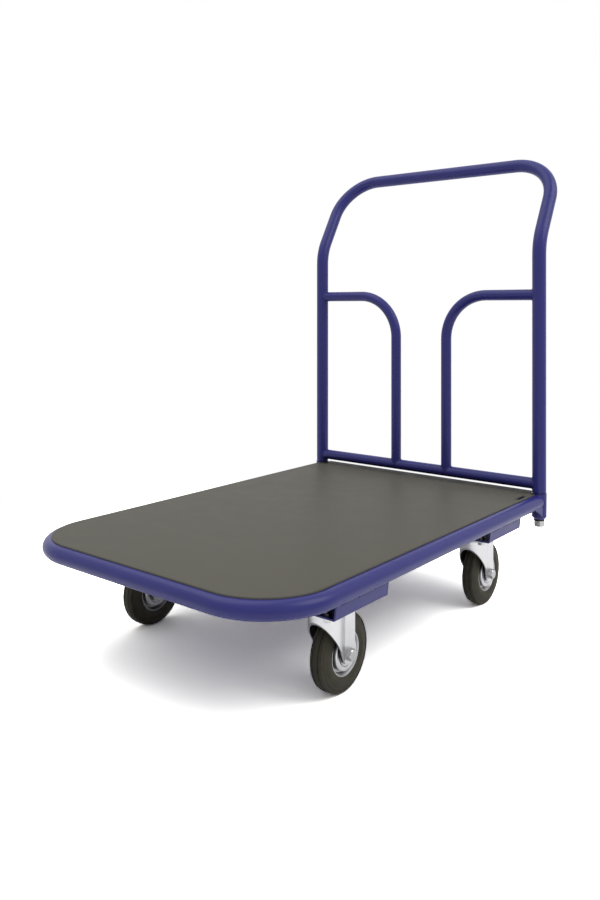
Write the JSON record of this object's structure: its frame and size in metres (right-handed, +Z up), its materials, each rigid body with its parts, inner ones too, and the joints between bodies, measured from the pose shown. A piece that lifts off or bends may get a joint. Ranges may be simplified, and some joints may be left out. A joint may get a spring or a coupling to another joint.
{
  "type": "platform cart",
  "caption": "Flat-deck platform cart with a rounded tube frame, a bolted push handle that leans back at the top, and swivel casters.",
  "frame": {"origin": "bottom centre of the whole cart's box, on the floor", "axes": "+Z up, +Y towards the handle at the rear, +X to the right as seen from the front of the deck looking at the handle"},
  "size_m": [0.6734, 1.1031, 1.0432],
  "materials": {
    "blue_powder_coat": "semi-gloss indigo-blue powder coat",
    "deck_coating": "matte dark grey textured coating on sheet steel",
    "zinc_plated_steel": "bright zinc plating",
    "bearing_steel": "ground bearing steel",
    "tyre_rubber": "moulded solid rubber, brownish black"
  },
  "bodies": {
    "platform": {"platform_frame_tube": "blue_powder_coat", "rear_cross_rail": "blue_powder_coat", "deck_panel": "deck_coating", "crossmember_1": "blue_powder_coat", "crossmember_2": "blue_powder_coat", "crossmember_3": "blue_powder_coat", "crossmember_4": "blue_powder_coat", "crossmember_5": "blue_powder_coat", "handle_socket_left": "blue_powder_coat", "socket_gussets_left": "blue_powder_coat", "handle_socket_right": "blue_powder_coat", "socket_gussets_right": "blue_powder_coat", "caster_bracket_front_left": "blue_powder_coat", "caster_bracket_front_right": "blue_powder_coat", "caster_bracket_rear_left": "blue_powder_coat", "caster_bracket_rear_right": "blue_powder_coat", "caster_plate_bolts": "zinc_plated_steel", "caster_plate_nuts": "zinc_plated_steel", "caster_plate_front_left": "zinc_plated_steel", "caster_plate_front_right": "zinc_plated_steel", "caster_plate_rear_left": "zinc_plated_steel", "caster_plate_rear_right": "zinc_plated_steel", "kingpin_front_left": "zinc_plated_steel", "kingpin_front_right": "zinc_plated_steel", "kingpin_rear_left": "zinc_plated_steel", "kingpin_rear_right": "zinc_plated_steel", "handle_tube": "blue_powder_coat", "handle_bottom_rail": "blue_powder_coat", "handle_brace_left": "blue_powder_coat", "handle_spigot_left": "zinc_plated_steel", "retaining_bolt_left": "zinc_plated_steel", "handle_brace_right": "blue_powder_coat", "handle_spigot_right": "zinc_plated_steel", "retaining_bolt_right": "zinc_plated_steel", "retaining_washers": "zinc_plated_steel"},
    "swivel_front_left": {"caster_fork_front_left": "zinc_plated_steel", "swivel_balls_front_left": "bearing_steel", "axle_bolt_front_left": "zinc_plated_steel"},
    "wheel_front_left": {"wheel_rim_front_left": "zinc_plated_steel", "tyre_front_left": "tyre_rubber", "wheel_bearings_front_left": "bearing_steel"},
    "swivel_front_right": {"caster_fork_front_right": "zinc_plated_steel", "swivel_balls_front_right": "bearing_steel", "axle_bolt_front_right": "zinc_plated_steel"},
    "wheel_front_right": {"wheel_rim_front_right": "zinc_plated_steel", "tyre_front_right": "tyre_rubber", "wheel_bearings_front_right": "bearing_steel"},
    "swivel_rear_left": {"caster_fork_rear_left": "zinc_plated_steel", "swivel_balls_rear_left": "bearing_steel", "axle_bolt_rear_left": "zinc_plated_steel"},
    "wheel_rear_left": {"wheel_rim_rear_left": "zinc_plated_steel", "tyre_rear_left": "tyre_rubber", "wheel_bearings_rear_left": "bearing_steel"},
    "swivel_rear_right": {"caster_fork_rear_right": "zinc_plated_steel", "swivel_balls_rear_right": "bearing_steel", "axle_bolt_rear_right": "zinc_plated_steel"},
    "wheel_rear_right": {"wheel_rim_rear_right": "zinc_plated_steel", "tyre_rear_right": "tyre_rubber", "wheel_bearings_rear_right": "bearing_steel"}
  },
  "joints": [
    {"name": "swivel_front_left", "type": "hinge", "parent": "platform", "child": "swivel_front_left", "pos_m": [-0.2445, -0.31706, 0.16225], "axis": [0, 0, 1], "continuous": true},
    {"name": "wheel_front_left", "type": "hinge", "parent": "swivel_front_left", "child": "wheel_front_left", "pos_m": [-0.2445, -0.27756, 0.07], "axis": [1, 0, 0], "continuous": true},
    {"name": "swivel_front_right", "type": "hinge", "parent": "platform", "child": "swivel_front_right", "pos_m": [0.2445, -0.31706, 0.16225], "axis": [0, 0, 1], "continuous": true},
    {"name": "wheel_front_right", "type": "hinge", "parent": "swivel_front_right", "child": "wheel_front_right", "pos_m": [0.2445, -0.27756, 0.07], "axis": [1, 0, 0], "continuous": true},
    {"name": "swivel_rear_left", "type": "hinge", "parent": "platform", "child": "swivel_rear_left", "pos_m": [-0.2445, 0.22844, 0.16225], "axis": [0, 0, 1], "continuous": true},
    {"name": "wheel_rear_left", "type": "hinge", "parent": "swivel_rear_left", "child": "wheel_rear_left", "pos_m": [-0.2445, 0.26794, 0.07], "axis": [1, 0, 0], "continuous": true},
    {"name": "swivel_rear_right", "type": "hinge", "parent": "platform", "child": "swivel_rear_right", "pos_m": [0.2445, 0.22844, 0.16225], "axis": [0, 0, 1], "continuous": true},
    {"name": "wheel_rear_right", "type": "hinge", "parent": "swivel_rear_right", "child": "wheel_rear_right", "pos_m": [0.2445, 0.26794, 0.07], "axis": [1, 0, 0], "continuous": true}
  ]
}
